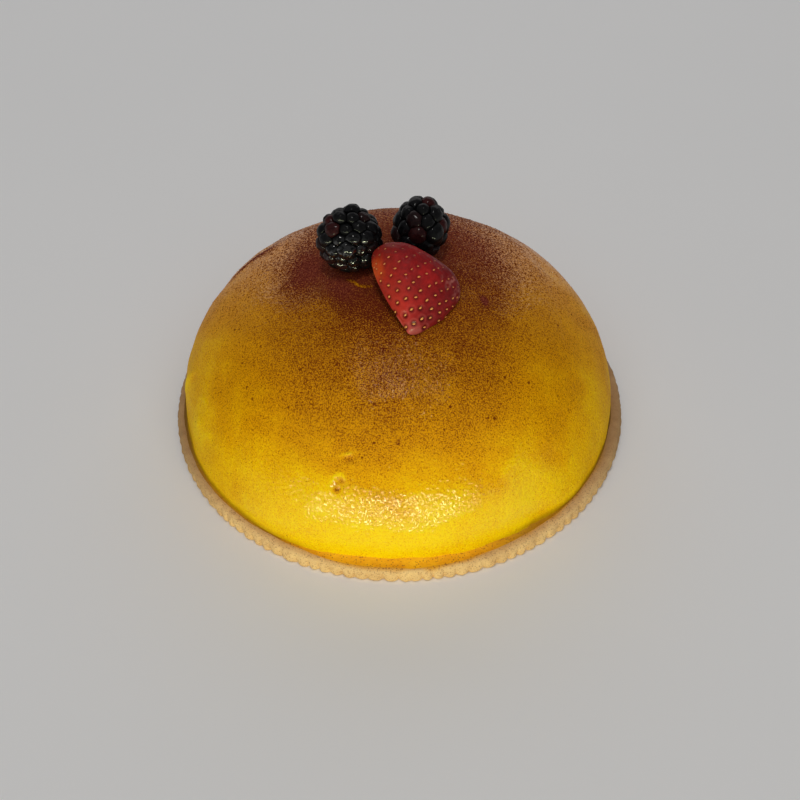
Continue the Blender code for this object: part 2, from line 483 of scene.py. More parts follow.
# thin marks left by a finger or by running glaze: the line through them (turn, rise), half width and
# height (mm), and what they add to the powder and to its wine-coloured share
domeStrokes = (
    (((-112.5, 34.0), (-115.5, 36.2), (-118.5, 38.5), (-121.0, 42.0), (-122.5, 45.5)), 2.6, 0.6, 0.8, 1.5),
    (((-81.4, 11.5), (-81.0, 15.0), (-80.2, 19.0), (-78.6, 23.2), (-76.5, 24.5)), 1.5, 0.40, -0.09, 0.0),
    (((-69.6, 20.8), (-68.0, 22.6), (-66.0, 23.4), (-64.4, 23.6)), 0.9, 0.30, -0.12, 0.0),
    (((-66.5, 13.0), (-65.0, 16.0), (-63.0, 17.5)), 1.8, 0.22, -0.08, 0.0),
    (((-60.5, 15.5), (-58.0, 17.0)), 1.6, 0.20, -0.08, 0.0),
    (((27.4, 23.5), (30.0, 25.0), (32.7, 25.7)), 2.0, 0.20, -0.11, 0.0),
    (((32.7, 25.7), (36.0, 21.0), (45.7, 9.5)), 2.4, 0.12, -0.07, 0.0),
    (((-13.0, 48.5), (-8.6, 51.8), (-3.2, 55.0)), 1.4, 0.0, 0.08, 0.03),
    (((-70.0, 75.4), (-60.0, 76.6), (-50.0, 76.8), (-38.0, 78.4)), 0.70, 0.30, -0.65, -0.9),
    (((0.0, 37.0), (0.6, 38.4)), 0.4, 0.0, 0.6, 0.0),
    (((-4.6, 51.0), (-4.4, 52.2)), 0.7, 0.0, 0.22, 0.08),
    (((-7.6, 60.6), (-7.2, 62.0)), 1.2, 0.0, 0.16, 0.12),
    (((18.4, 58.2), (19.6, 59.2)), 1.3, 0.0, 0.16, 0.12),
    (((22.4, 53.4), (24.4, 54.4)), 1.1, 0.0, 0.16, 0.10),
    (((64.6, 63.4), (67.8, 64.8)), 1.3, 0.05, 0.6, 1.6),
)
# two small hollows at the front, one with a rim and one with a lip: degrees and millimetres
crater = {
    "turn": -15.6, "rise": 24.8, "slant": -8.0, "wide": 1.9, "tall": 3.1, "high": 0.40, "deep": 0.50,
    # crumbs of powder in it: place along and across, size, amount
    "crumbs": ((1.0, 1.6, 0.8, 0.55), (0.2, -2.3, 1.1, 0.75), (-1.1, -0.4, 0.8, 0.4)),
}
dent = {"turn": -13.6, "rise": 32.4, "slant": 22.0, "wide": 1.7, "tall": 1.2, "deep": 0.75, "lip": 0.42}
# how much powder has settled, by the distance from the middle in plan (mm)
dustFalls = ((0, 1.05), (20, 0.98), (28, 0.84), (36, 0.72), (46, 0.61), (56, 0.50), (64, 0.39), (70, 0.28),
             (76, 0.13), (81, 0.0), (86, -0.11), (92, -0.16))
# how much more drifts onto the back and how much less onto the sides, and how unevenly it falls:
# a shift in plan (mm), its wavelength and seed
dustDrift = {"back": 0.16, "sides": 0.17, "uneven": ((2.2, 34 * mm, 41), (1.4, 13 * mm, 42))}
# patches with more powder or less: turn, rise, wide, tall (mm), powder, its wine-coloured share, slant
dustPatches = (
    (-100.0, 65.5, 15.0, 10.0, 0.26, 1.25, 0.0),    # thick beside the left bramble
    (-64.0, 73.0, 9.0, 6.0, 0.12, 0.80, 0.0),
    (-122.0, 58.0, 12.0, 7.0, 0.05, 0.40, 0.0),
    (0.0, 90.0, 22.0, 22.0, 0.10, 0.90, 0.0),
    (60.0, 68.0, 12.0, 9.0, -0.12, 0.15, 0.0),
    (-56.0, 65.0, 13.0, 8.0, -0.12, -0.2, 0.0),
    (85.0, 22.0, 18.0, 12.0, 0.08, 0.0, 0.0),
    (118.0, 64.0, 22.0, 13.0, 0.05, 0.85, 0.0),
    (165.0, 58.0, 24.0, 18.0, 0.06, 0.85, 0.0),
    (-160.0, 58.0, 24.0, 16.0, 0.05, 0.70, 0.0),
    (37.0, 14.0, 16.0, 8.0, -0.06, 0.0, 8.0),      # wiped place
    (0.0, 8.0, 52.0, 15.0, -0.13, 0.0, 0.0),       # clean along the front of the foot
    (-60.0, 9.0, 26.0, 12.0, 0.08, 0.0, 0.0),
    (62.0, 9.0, 24.0, 12.0, 0.08, 0.0, 0.0),
    (-80.5, 17.0, 5.0, 8.0, -0.15, 0.0, 0.0),
    (-66.0, 11.0, 8.0, 7.0, -0.15, 0.0, 0.0),
    (110.5, 39.5, 6.0, 5.0, -0.12, 0.0, 0.0),
)


def nearHollow(points, hollow):
    # millimetres along and across from a hollow's middle, and 0 on the far side of the dome
    along, across, through = spotAxes(points, hollow["turn"], hollow["rise"], hollow["slant"])
    return along, across, np.exp(-(through / 4.0) ** 2)


def domeRise(points):
    # how far the real surface stands out from the smooth dome, in metres
    out = unevenness(points, dome["swells"])
    for turn, rise, wide, tall, height, slant in domeBumps:
        out += height * mm * nearness(points, turn, rise, wide, tall, slant)
    uneven = 1.0 + 0.15 * ripple(points, 4.0 * mm, 77)
    for line, half, height, _, _ in domeStrokes:
        if height:
            away, share = lineAway(points, line)
            thin = 0.45 + 0.55 * np.sin(math.pi * (0.08 + 0.84 * share))      # thinner at both ends
            out += height * mm * thin * uneven * np.exp(-(away / half / thin) ** 2)
    along, across, near = nearHollow(points, crater)
    ring = np.hypot(along / crater["wide"], across / crater["tall"])
    corner = ease(across - along * 0.8, -1.5, 3.0)     # the rim stands up at its upper left only
    out += crater["high"] * mm * corner * np.exp(-((ring - 1.25) / 0.30) ** 2) * near
    out -= crater["deep"] * mm * np.exp(-((ring - 0.62) / 0.38) ** 2) * near
    along, across, near = nearHollow(points, dent)
    out -= dent["deep"] * mm * np.exp(-(along / dent["wide"]) ** 2 - (across / dent["tall"]) ** 4) * near
    out += dent["lip"] * mm * np.exp(-((along + 0.3) / 2.6) ** 2 - ((across - 1.75) / 0.55) ** 2) * near
    return out


def domeDust(points):
    # how much powder has settled, from -0.6 on wiped glaze to 1.4, and how wine-coloured it is
    side = points[:, :2] - np.array([domeMiddle.x, domeMiddle.y])
    across = np.linalg.norm(side, axis=1) / mm
    distances, amounts = np.array(dustFalls).T
    dust = np.interp(across + unevenness(points, dustDrift["uneven"]), distances, amounts)
    sideways, backward = (side / mm / np.maximum(across, 1e-6)[:, None]).T
    dust += dustDrift["back"] * ease(backward, -0.2, 0.9) * ease(across, 34.0, 64.0)
    dust -= dustDrift["sides"] * ease(np.abs(sideways), 0.55, 0.95) * band(across, 38.0, 54.0, 66.0, 82.0)
    wine = np.zeros(len(points))
    for turn, rise, wide, tall, more, red, slant in dustPatches:
        near = nearness(points, turn, rise, wide, tall, slant)
        dust += more * near
        wine += red * near
    for line, half, _, more, red in domeStrokes:
        away, share = lineAway(points, line)
        near = np.exp(-(away / half) ** 2) * band(share, -0.3, 0.3, 0.7, 1.3)
        dust += more * near
        wine += red * near
    along, across, near = nearHollow(points, crater)
    rim = np.exp(-((np.hypot(along / crater["wide"], across / crater["tall"]) - 1.3) / 0.35) ** 2)
    dust -= 0.35 * rim * ease(across - along * 0.8, 0.0, 3.0) * near
    for right, up, size, more in crater["crumbs"]:
        dust += more * np.exp(-((along - right) ** 2 + (across - up) ** 2) / size ** 2) * near
    along, across, near = nearHollow(points, dent)
    dust += 0.30 * np.exp(-(along / 2.0) ** 2 - (across / 1.3) ** 2) * near
    dust -= 0.50 * np.exp(-((along + 0.3) / 3.0) ** 2 - ((across - 1.8) / 0.7) ** 2) * near
    return np.clip(dust, -0.6, 1.4), np.clip(wine, 0.0, 1.4)


# the sizes of what is mottled, speckled, blotted and rippled on the glaze
glazeSizes = {"cloud": 6.5 * mm, "fine": 0.52 * mm, "rough": 0.80 * mm, "blot": 2.3 * mm,
              "ragged": 0.8 * mm, "skin": 1.25 * mm}


def glazeFinish():
    glaze = Finish("yellowGlaze")
    wine = glaze.painted("wine")
    cloud = glaze.noise(glazeSizes["cloud"], 3.0, 0.75)
    dust = glaze.painted("dust") + (cloud - 0.5) * 0.27
    coarseAndSheen = glaze.painted("coarseAndSheen")
    fine = glaze.noise(glazeSizes["fine"], 2.5, 0.7)
    rough = glaze.noise(glazeSizes["rough"], 2.5, 0.7)
    grain = (fine - 0.5) * (1.15 - coarseAndSheen * 0.6) + (rough - 0.5) * coarseAndSheen * 1.45 + 0.5
    # 0 on clean glaze, 1 under the thickest powder, with a fine mottle
    layer = dust / 1.3 + 0.23 + (grain - 0.5) * 0.8
    ground = glaze.ramp(layer, [
        (0.00, (0.89, 0.61, 0.001)),
        (0.13, (0.83, 0.46, 0.001)),
        (0.28, (0.74, 0.34, 0.001)),
        (0.45, (0.66, 0.275, 0.001)),
        (0.66, (0.51, 0.190, 0.004)),
        (0.92, (0.46, 0.145, 0.008)),
    ])
    # painted sheen and light: the powder is painted paler over the back and sides
    ground = glaze.mix(coarseAndSheen * coarseAndSheen * 0.7, ground, (0.88, 0.385, 0.125))
    grains = glaze.ramp(layer, [
        (0.00, (0.58, 0.24, 0.001)),
        (0.25, (0.43, 0.145, 0.001)),
        (0.45, (0.29, 0.080, 0.001)),
        (0.66, (0.215, 0.048, 0.002)),
        (0.92, (0.125, 0.016, 0.003)),
    ])
    settled = glaze.between(grain + dust * 0.27, 0.56, 0.75)
    ragged = glaze.bentSpots(glazeSizes["ragged"], 0.5 * mm)
    away, chance = glaze.cells(glazeSizes["blot"], ragged)
    blots = glaze.between(away + chance * 1.1, 0.34, 0.20) * glaze.between(dust, -0.05, 0.25)
    dry = glaze.clamp(settled + blots)
    colour = glaze.mix(dry, ground, glaze.mix(blots * 0.5, grains, (0.12, 0.020, 0.004)))
    reds = glaze.clamp(wine * (settled * 0.60 + 0.40))
    wineTone = glaze.ramp(grain, [(0.38, (0.28, 0.060, 0.030)), (0.60, (0.105, 0.012, 0.008))])
    colour = glaze.mix(reds, colour, wineTone)
    # painted shade: the dome's sides are darkened just above the biscuit
    colour = glaze.mix(glaze.painted("footShade"), colour, (0.30, 0.15, 0.002))
    clean = glaze.between(dust, 0.75, 0.1)
    skin = glaze.noise(glazeSizes["skin"], 0.5) * (clean * 0.18 + 0.12)
    glaze.fill(glaze.shader, {
        "Base Color": colour, "Roughness": 0.06, "IOR": 1.36,
        "Normal": glaze.bump(skin + grain * (0.10 - clean * 0.09)),
    })
    powdery = glaze.tree.nodes.new("ShaderNodeBsdfPrincipled")
    glaze.fill(powdery, {
        "Base Color": colour, "Roughness": 0.7, "IOR": 1.3, "Specular IOR Level": 0.05,
        "Normal": glaze.bump(grain * 0.20 + skin),
    })
    glaze.mixShaders(glaze.clamp(dry * 0.95 + reds + glaze.painted("dull")), powdery)
    return glaze


def makeDome():
    piece = halfBall("glazedDome", dome["detail"])
    bpy.ops.object.mode_set(mode="OBJECT")
    ball = pointsOf(piece)
    turn = np.degrees(np.arctan2(ball[:, 0], -ball[:, 1]))
    rise = np.degrees(np.arcsin(np.clip(ball[:, 2], 0.0, 1.0)))
    smooth = domeSpot(turn, rise)
    rim = rise < 0.01
    out = domeRise(smooth) * np.where(rim, 0.5, 1.0)
    points = smooth + domeOutward(smooth) * out[:, None]
    points[:, 2] = np.where(rim, domeBase, np.maximum(points[:, 2], domeBase))
    movePoints(piece, points)
    dust, wine = domeDust(smooth)
    paintPoints(piece, "dust", dust)
    paintPoints(piece, "wine", wine)
    side = np.abs(turn) / 180.0
    down = 90.0 - rise
    # the speckles are coarser on the sides and over the back, and there the powder is also painted paler as
    # sheen and light
    paintPoints(piece, "coarseAndSheen", ease(side, *dome["coarseAndSheenRound"]) * ease(down, *dome["coarseAndSheenDown"]))
    # the walls away from the front have dried, those at the back less, and so has the dome's foot
    walls = dome["dryWalls"] * ease(side, *dome["dryRound"]) * ease(down, *dome["dryDown"])
    walls *= 1.0 - dome["wetterBack"] * ease(side, *dome["backRound"])
    lowest = dome["dryFoot"] * (1.0 - ease(rise, *dome["dryUp"]))
    paintPoints(piece, "dull", np.maximum(walls, lowest))
    # painted shade: close above the biscuit the sides are darkened
    footShade = (1.0 - ease(rise, *dome["footShadeUp"])) * ease(side, *dome["footShadeRound"])
    paintPoints(piece, "footShade", dome["footShadeAmount"] * footShade)
    smoothShade(piece, 40)
    glazeFinish().give(piece)
    onRoot(piece, "glaze", "mousse_dome")


makeDome()
print("dome is glazed and dusted")


biscuitLow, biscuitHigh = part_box("biscuit_base")
foot = {
    # the ring runs from inside the dome out over the biscuit, and is highest where it starts
    "inner": 88.2 * mm, "outer": 92.4 * mm, "tall": 2.2 * mm, "around": 900, "section": 20,
    # more glaze at some bearings: turn, spread (degrees), extra share
    "pools": ((39.5, 6.5, 0.45), (4.0, 3.0, 0.5), (-55.0, 18.0, 0.2), (120.0, 30.0, 0.3),
              (-140.0, 25.0, 0.3)),
    "uneven": ((0.10, 18 * mm, 12), (0.05, 4 * mm, 13)),      # share, wavelength, seed
    # widest at this bearing; over these degrees away from it the ring loses these shares of its size
    "front": 2.0, "narrow": (12.0, 34.0), "narrower": 0.42, "lower": 0.45,
    "wet": (39.5, 8.0),              # the wet place: turn and spread
    # away from the front the ring is darkened by painted shade where the dome meets the biscuit: amount,
    # and the degrees over which it comes
    "junctionShade": ((0.50, 16.0, 34.0), (0.45, 46.0, 80.0)),
}


def footFinish():
    amber = Finish("amberGlaze")
    cloud = amber.noise(5.0 * mm, 3.0, 0.55)
    colour = amber.ramp(cloud, [
        (0.30, (0.72, 0.29, 0.003)), (0.52, (0.82, 0.37, 0.004)), (0.70, (0.88, 0.44, 0.006))])
    away, chance = amber.cells(0.6 * mm)
    colour = amber.mix(amber.between(away + chance, 0.70, 0.40) * 0.6, colour, (0.24, 0.065, 0.012))
    wet = amber.painted("wet")
    colour = amber.mix(wet * 0.5, colour, (0.52, 0.21, 0.005))
    # painted shade where the dome meets the biscuit, away from the front
    colour = amber.mix(amber.painted("junctionShade"), colour, (0.18, 0.088, 0.010))
    amber.fill(amber.shader, {
        "Base Color": colour, "Roughness": 0.72 - wet * 0.45, "IOR": 1.30,
        "Normal": amber.bump(amber.noise(1.8 * mm) * 0.3),
    })
    return amber


def makeFoot():
    deselect()
    bpy.ops.mesh.primitive_torus_add(major_radius=foot["outer"], minor_radius=1.0 * mm,
                                     major_segments=foot["around"], minor_segments=foot["section"])
    piece = named("glazeFoot")
    points = pointsOf(piece)
    turn = np.arctan2(points[:, 0], -points[:, 1])
    degrees = np.degrees(turn)
    out = (np.hypot(points[:, 0], points[:, 1]) - foot["outer"]) / mm * 0.5 + 0.5     # 0 inside, 1 outside
    narrow = ease(np.abs(degrees - foot["front"]), *foot["narrow"])
    level = np.stack([np.cos(turn), np.sin(turn), np.zeros(len(turn))], axis=1) * foot["outer"]
    share = 1.0 + unevenness(level, foot["uneven"])
    for at, spread, extra in foot["pools"]:
        off = (degrees - at + 180.0) % 360.0 - 180.0
        share += extra * np.exp(-(off / spread) ** 4)
    wide = (foot["outer"] - foot["inner"]) * (1.0 - foot["narrower"] * narrow)
    radius = foot["inner"] + wide * out * (0.6 + 0.4 * share)
    high = foot["tall"] * (1.0 - foot["lower"] * narrow) * share
    lift = np.where(points[:, 2] > 0, high * (1.0 - out).clip(0.0) ** 1.8 + 0.05 * mm, 0.0)
    floor = biscuitHigh.z + 0.04 * mm
    movePoints(piece, roundMiddle(turn, radius, np.maximum(floor + lift, floor)))
    wetTurn, wetSpread = foot["wet"]
    paintPoints(piece, "wet", np.exp(-((degrees - wetTurn) / wetSpread) ** 4))
    # painted shade, growing away from the front
    junctionShade = sum(amount * ease(np.abs(degrees), low, high) for amount, low, high in foot["junctionShade"])
    paintPoints(piece, "junctionShade", junctionShade)
    smoothShade(piece, 60)
    footFinish().give(piece)
    onRoot(piece, "glaze")


makeFoot()
print("foot of glaze is set")


biscuit = {
    "radius": (biscuitHigh.x - biscuitLow.x) / 2,
    "height": biscuitHigh.z,
    "flutes": 120,
    "deep": 1.5 * mm,                # notch between two flutes
    "points": 12,                    # outline points for each flute
    # from the underside up and over the edge: how far in from the crest (mm), and the height and the
    # flutes' depth as shares
    "rings": ((0.9, 0.0, 0.9), (0.35, 0.06, 1.0), (0.1, 0.14, 1.0), (0.0, 0.26, 1.0), (0.0, 0.38, 0.85),
              (0.05, 0.5, 0.6), (0.15, 0.62, 0.38), (0.35, 0.74, 0.20), (0.65, 0.84, 0.09),
              (1.05, 0.92, 0.03), (1.6, 0.97, 0.0), (2.4, 1.0, 0.0), (3.4, 1.0, 0.0), (4.6, 1.0, 0.0),
              (6.0, 1.0, 0.0), (8.5, 1.0, 0.0)),
    # where the soaked edge begins and is full (mm in from the crest), and how far it draws in at the sides
    "soaked": (0.5, 2.4), "drawnIn": 2.6, "sides": (8.0, 32.0),
    "shadedRound": (42.0, 78.0),         # degrees from the front over which painted shade darkens the sides and back
    "crumbs": ((0.04, 2.2 * mm, 23), (0.08, 6.0 * mm, 24)),      # depth (mm), wavelength, seed
}


def biscuitFinish():
    crumb = Finish("shortbread")
    stain = crumb.painted("stain")
    shade = crumb.noise(6.0 * mm, 4.0, 0.6)
    grain = crumb.noise(0.5 * mm, 3.0, 0.7)
    colour = crumb.ramp(shade * 0.6 + grain * 0.4, [
        (0.30, (0.60, 0.35, 0.15)), (0.50, (0.74, 0.47, 0.22)), (0.70, (0.84, 0.59, 0.30))])
    soaked = crumb.ramp(grain, [(0.30, (0.62, 0.26, 0.010)), (0.65, (0.80, 0.39, 0.020))])
    colour = crumb.mix(crumb.clamp(stain + (shade - 0.5) * 0.4), colour, soaked)
    away, chance = crumb.cells(0.55 * mm)
    flecks = crumb.between(away + chance, 0.80, 0.42) * (stain * 0.30 + 0.45)
    colour = crumb.mix(flecks, colour, (0.22, 0.065, 0.030))
    # painted shade: the sides and back are darkened
    colour = crumb.mix(crumb.painted("shaded"), colour, crumb.ramp(shade, [
        (0.30, (0.32, 0.180, 0.080)), (0.70, (0.46, 0.275, 0.130))]))
    crumb.fill(crumb.shader, {
        "Base Color": colour, "Roughness": 0.85, "IOR": 1.3,
        "Normal": crumb.bump(grain * 0.30 + shade * 0.15),
    })
    return crumb


def makeBiscuit():
    outline = biscuit["flutes"] * biscuit["points"]
    deselect()
    bpy.ops.mesh.primitive_circle_add(vertices=outline, radius=biscuit["radius"], fill_type="NGON")
    piece = named("flutedBiscuit")
    bpy.ops.object.mode_set(mode="EDIT")
    bpy.ops.mesh.select_all(action="SELECT")
    for _ in biscuit["rings"][1:]:
        bpy.ops.mesh.extrude_region_move(TRANSFORM_OT_translate={"value": (0, 0, 0.01 * mm)})
    bpy.ops.object.mode_set(mode="OBJECT")
    rows = len(biscuit["rings"])
    points = pointsOf(piece).reshape(rows, outline, 3)
    angle = np.arctan2(points[0, :, 1], points[0, :, 0])
    # the flutes vary a little in width, depth and lean
    level = np.stack([np.cos(angle), np.sin(angle), np.zeros(outline)], axis=1) * biscuit["radius"]
    turn = angle / (2.0 * math.pi) * biscuit["flutes"] + 0.16 * ripple(level, 26 * mm, 21)
    uneven = np.clip(1.0 + 0.16 * ripple(level, 9 * mm, 22), 0.5, 1.3)
    stain = np.zeros((rows, outline))
    front = np.degrees(np.arccos(np.clip(-np.sin(angle), -1.0, 1.0)))
    aside = ease(front, *biscuit["sides"])
    for row, (inward, share, depthShare) in enumerate(biscuit["rings"]):
        notch = 1.0 - np.abs(np.cos(math.pi * (turn + 0.10 * share))) ** 0.6
        radius = biscuit["radius"] - inward * mm - biscuit["deep"] * depthShare * uneven * notch
        height = biscuit["height"] * share
        flat = np.stack([radius * np.cos(angle), radius * np.sin(angle), np.full(outline, height)], axis=1)
        if row > 0:
            crumbly = unevenness(flat, biscuit["crumbs"])
            flat[:, :2] -= np.stack([np.cos(angle), np.sin(angle)], axis=1) * (0.12 + crumbly[:, None]) * mm
            if share < 1.0:
                flat[:, 2] += np.minimum(0.6 * crumbly * share, 0.0) * mm
        points[row] = flat
        soaked = inward + 0.25 * ripple(flat, 11 * mm, 25) - biscuit["drawnIn"] * aside
        stain[row] = ease(soaked, *biscuit["soaked"]) * (share > 0.5)
    movePoints(piece, points.reshape(-1, 3))
    paintPoints(piece, "stain", stain.ravel())
    # painted shade on the sides and back, away from the front
    paintPoints(piece, "shaded", np.tile(0.85 * ease(front, *biscuit["shadedRound"]), rows))
    smoothShade(piece, 50)
    biscuitFinish().give(piece)
    onRoot(piece, "biscuit", "biscuit_base")


makeBiscuit()
print("biscuit is fluted and baked")


berries = {
    "bramble_left": {
        "name": "leftBramble", "drupelets": 62, "seed": 3, "radius": 2.75 * mm, "tall": 13.8 * mm,
        # reddish drupelets and the wet place, as directions from the berry's middle
        "ruddy": ((-6.4, -3.2, 10.6), (-4.8, -6.5, 9.0), (-9.0, -1.0, 8.0)), "wet": (0.5, -12.7, -0.6),
    },
    "bramble_right": {
        "name": "rightBramble", "drupelets": 40, "seed": 8, "radius": 3.15 * mm, "tall": 12.4 * mm,
        "ruddy": ((7.2, 3.0, 9.0), (9.0, -1.0, 5.0), (-1.6, -9.8, 2.6)), "wet": (0.0, 0.0, -20.0),
    },
}
packing = {
    "plump": (1.12, 1.12, 1.0),      # a drupelet's shape before its neighbours press it
    "sizes": (0.80, 1.22), "depths": (0.88, 1.02), "ovals": (0.86, 1.16),      # shares, from and to
    # how near neighbours press, in radii, the gap that is left, and how flat they press
    "reach": 2.6, "crease": 0.04 * mm, "flat": 0.92,
    # unevenness, and the fine puckers of juice on the wet side: height, wavelength, three seeds
    "swell": (0.05 * mm, 2.6 * mm, (31, 32, 33)),
    "puckers": (0.026 * mm, 1.4 * mm, (34, 35, 36)),
}


def spreadOut(count, seed):
    # that many directions, pushed apart until they lie evenly but not in order
    chance = np.random.default_rng(seed)
    ways = chance.normal(size=(count, 3))
    ways /= np.linalg.norm(ways, axis=1)[:, None]
    for _ in range(160):
        apart = ways[:, None] - ways[None]
        gap = np.linalg.norm(apart, axis=2) + np.eye(count)
        push = (apart / gap[..., None] ** 4).sum(axis=1)
        push -= (push * ways).sum(axis=1)[:, None] * ways
        ways += push / np.linalg.norm(push, axis=1)[:, None].clip(1e-9) * 0.02
        ways /= np.linalg.norm(ways, axis=1)[:, None]
    return ways


def pushed(points, height, length, seedRow):
    # a ripple in each of the three directions
    return height * np.stack([ripple(points, length, seed) for seed in seedRow], axis=1)


def brambleFinish():
    skin = Finish("brambleSkin")
    ruddy = skin.painted("tint")
    wet = skin.painted("wet")
    mottle = skin.noise(1.2 * mm, 3.0)
    dark = skin.ramp(mottle, [(0.3, (0.0020, 0.0020, 0.0028)), (0.7, (0.0060, 0.0056, 0.0066))])
    warm = skin.ramp(mottle, [(0.3, (0.020, 0.0035, 0.0040)), (0.7, (0.050, 0.0085, 0.0085))])
    sparkle = skin.noise(1.15 * mm, 1.5, 0.6)
    juice = wet * skin.between(sparkle, 0.45, 0.56)
    skin.fill(skin.shader, {
        "Base Color": skin.mix(ruddy, dark, warm), "Roughness": 0.45, "IOR": 1.15,
        "Coat Weight": juice * 0.90 + 0.10, "Coat IOR": 1.95, "Coat Roughness": 0.03,
        "Normal": skin.bump(mottle * 0.06 + sparkle * (wet * 0.16 + 0.02)),
    })
    return skin


def makeBramble(node):
    berry = berries[node]
    low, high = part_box(node)
    half = (high.x - low.x) / 2
    middle = np.array([(low.x + high.x) / 2, (low.y + high.y) / 2, high.z - berry["tall"]])
    radius = berry["radius"]
    chance = np.random.default_rng(berry["seed"] + 100)
    ways = spreadOut(berry["drupelets"], berry["seed"])
    size = chance.uniform(*packing["sizes"], len(ways)) * radius
    oval = np.array([half - radius, half - radius, berry["tall"] - radius])
    centres = ways * oval * chance.uniform(*packing["depths"], (len(ways), 1))
    deselect()
    bpy.ops.mesh.primitive_ico_sphere_add(subdivisions=4, radius=1.0)
    pattern = stretched("drupelet", packing["plump"])
    shape = pointsOf(pattern)
    tip = np.exp(-(shape[:, 0] ** 2 + shape[:, 1] ** 2) / 0.03) * (shape[:, 2] > 0)
    shape[:, 2] -= 0.07 * tip        # the small pit where the hair sat
    movePoints(pattern, shape)
    turns = []
    for centre, big in zip(centres, size):
        longer = Matrix.Diagonal((*chance.uniform(*packing["ovals"], 2), 1.0))
        spin = Matrix.Rotation(chance.uniform(0.0, math.pi), 3, "Z")
        turns.append(np.array(turnedTo(centre) @ spin @ longer) * big)
    ruddy = np.zeros(len(centres))
    for way in berry["ruddy"]:
        ruddy[np.argmax(ways @ (np.array(way) / np.linalg.norm(way)))] = chance.uniform(0.6, 1.0)
    ruddy += 0.25 * (chance.uniform(size=len(centres)) > 0.85)
    piece = copiesOf(pattern, berry["name"], list(zip(centres, turns, ruddy)))
    points = pointsOf(piece).reshape(len(centres), -1, 3)
    # neighbours press flat against each other, with a fine crease left between
    for one in range(len(centres)):
        for other in range(len(centres)):
            apart = centres[other] - centres[one]
            gap = np.linalg.norm(apart)
            if one == other or gap > packing["reach"] * radius:
                continue
            apart /= gap
            share = size[one] / (size[one] + size[other])
            over = (points[one] - centres[one]) @ apart - gap * share + packing["crease"]
            points[one] -= np.maximum(over, 0.0)[:, None] * apart * packing["flat"]
    away = points.reshape(-1, 3)
    away += pushed(away, *packing["swell"])
    wetWay = np.array(berry["wet"]) / np.linalg.norm(berry["wet"])
    sideways = away / np.linalg.norm(away, axis=1)[:, None]
    wet = ease(sideways @ wetWay, 0.55, 0.90)
    away += wet[:, None] * pushed(away, *packing["puckers"])
    away *= np.array([half, half, berry["tall"]]) / np.abs(away).max(axis=0)      # as large as its solid
    flat = away + middle
    flat[:, 2] = np.maximum(flat[:, 2], domeTop(flat[:, 0], flat[:, 1]) + 0.12 * mm)
    flat = np.clip(flat, np.array(low), np.array(high))
    movePoints(piece, flat)
    paintPoints(piece, "wet", wet)
    smoothShade(piece, 55)
    brambleFinish().give(piece)
    onRoot(piece, "bramble", node)


for node in berries:
    makeBramble(node)
print("brambles are packed")


strawberry = {
    "middle": np.array([1.8, -14.8, 81.9]) * mm,
    "turn": Euler((math.radians(16.6), math.radians(25.8), math.radians(-15.1)), "YXZ"),
    "long": 31.6 * mm, "origin": 0.33,           # the middle's place along the length, from the shoulder
    "left": 13.0 * mm, "right": 23.6 * mm, "thick": 12.7 * mm, "skew": 11.8 * mm,
    # how each side swells from the shoulder and narrows to the point
    "leftPowers": (0.45, 1.08), "rightPowers": (0.20, 0.86),
    "detail": 7,
    "swells": ((0.16 * mm, 9 * mm, 51), (0.05 * mm, 2.6 * mm, 52)),      # height, wavelength, seed
}
berryTurn = np.array(strawberry["turn"].to_matrix())
seeds = {
    "number": 84, "width": 0.80 * mm, "length": 1.50 * mm, "height": 0.60 * mm, "seed": 19,
    "step": 0.381966,                               # the golden turn, as a share of a round
    "across": np.array([-0.42, 0.63, 0.65]),        # their long sides lie square to this
    "lean": 22.0,                                   # and then up to so many degrees off
    "extra": ((0.37, 176.0), (0.40, 170.0)),        # two more near the left edge: along, around
}


def girth(along, powers):
    # half the width as a share of its fullest
    shoulder, point = powers
    fullest = shoulder / (shoulder + point)
    left = (1.0 - along) / (1.0 - fullest)
    blunt = np.sqrt(left * (left + 0.06) / 1.06)     # the point is rounded off
    return (along / fullest) ** shoulder * blunt ** point


def strawberrySpot(along, around):
    # a point of the skin: along from the shoulder (0) to the point (1), around in degrees from the right
    along, around = np.broadcast_arrays(np.clip(along, 0.0, 1.0), np.radians(around))
    left = girth(along, strawberry["leftPowers"])
    right = girth(along, strawberry["rightPowers"])
    half = np.where(np.cos(around) < 0, strawberry["left"] * left, strawberry["right"] * right)
    down = along - strawberry["origin"]
    local = np.stack([np.cos(around) * half + strawberry["skew"] * down, -strawberry["long"] * down,
                      np.sin(around) * strawberry["thick"] * (left + right) / 2.0], axis=-1)
    return local @ berryTurn.T + strawberry["middle"]


def seedSpots():
    # seeds stand as on a cone: each a golden turn round from the last, at even steps of the skin's area
    chance = np.random.default_rng(seeds["seed"])
    steps = np.linspace(0.02, 0.99, 300)
    arcs = np.linspace(3.0, 177.0, 30)
    rings = np.stack([strawberrySpot(steps, arc) for arc in arcs], axis=1)
    width = np.linalg.norm(np.diff(rings, axis=1), axis=2).sum(axis=1)
    area = np.cumsum(width) / width.sum()
    spots = []
    for number in range(seeds["number"]):
        along = np.interp((number + 0.5) / seeds["number"], area, steps)
        share = (number * seeds["step"] + 0.2) % 1.0
        # an even step on the skin, not in the angle
        ring = strawberrySpot(along, arcs)
        far = np.concatenate([[0.0], np.cumsum(np.linalg.norm(np.diff(ring, axis=0), axis=1))])
        around = np.interp(share * far[-1], far, arcs)
        spots.append((along + chance.uniform(-0.008, 0.008), around + chance.uniform(-2.0, 2.0)))
    return spots + list(seeds["extra"])


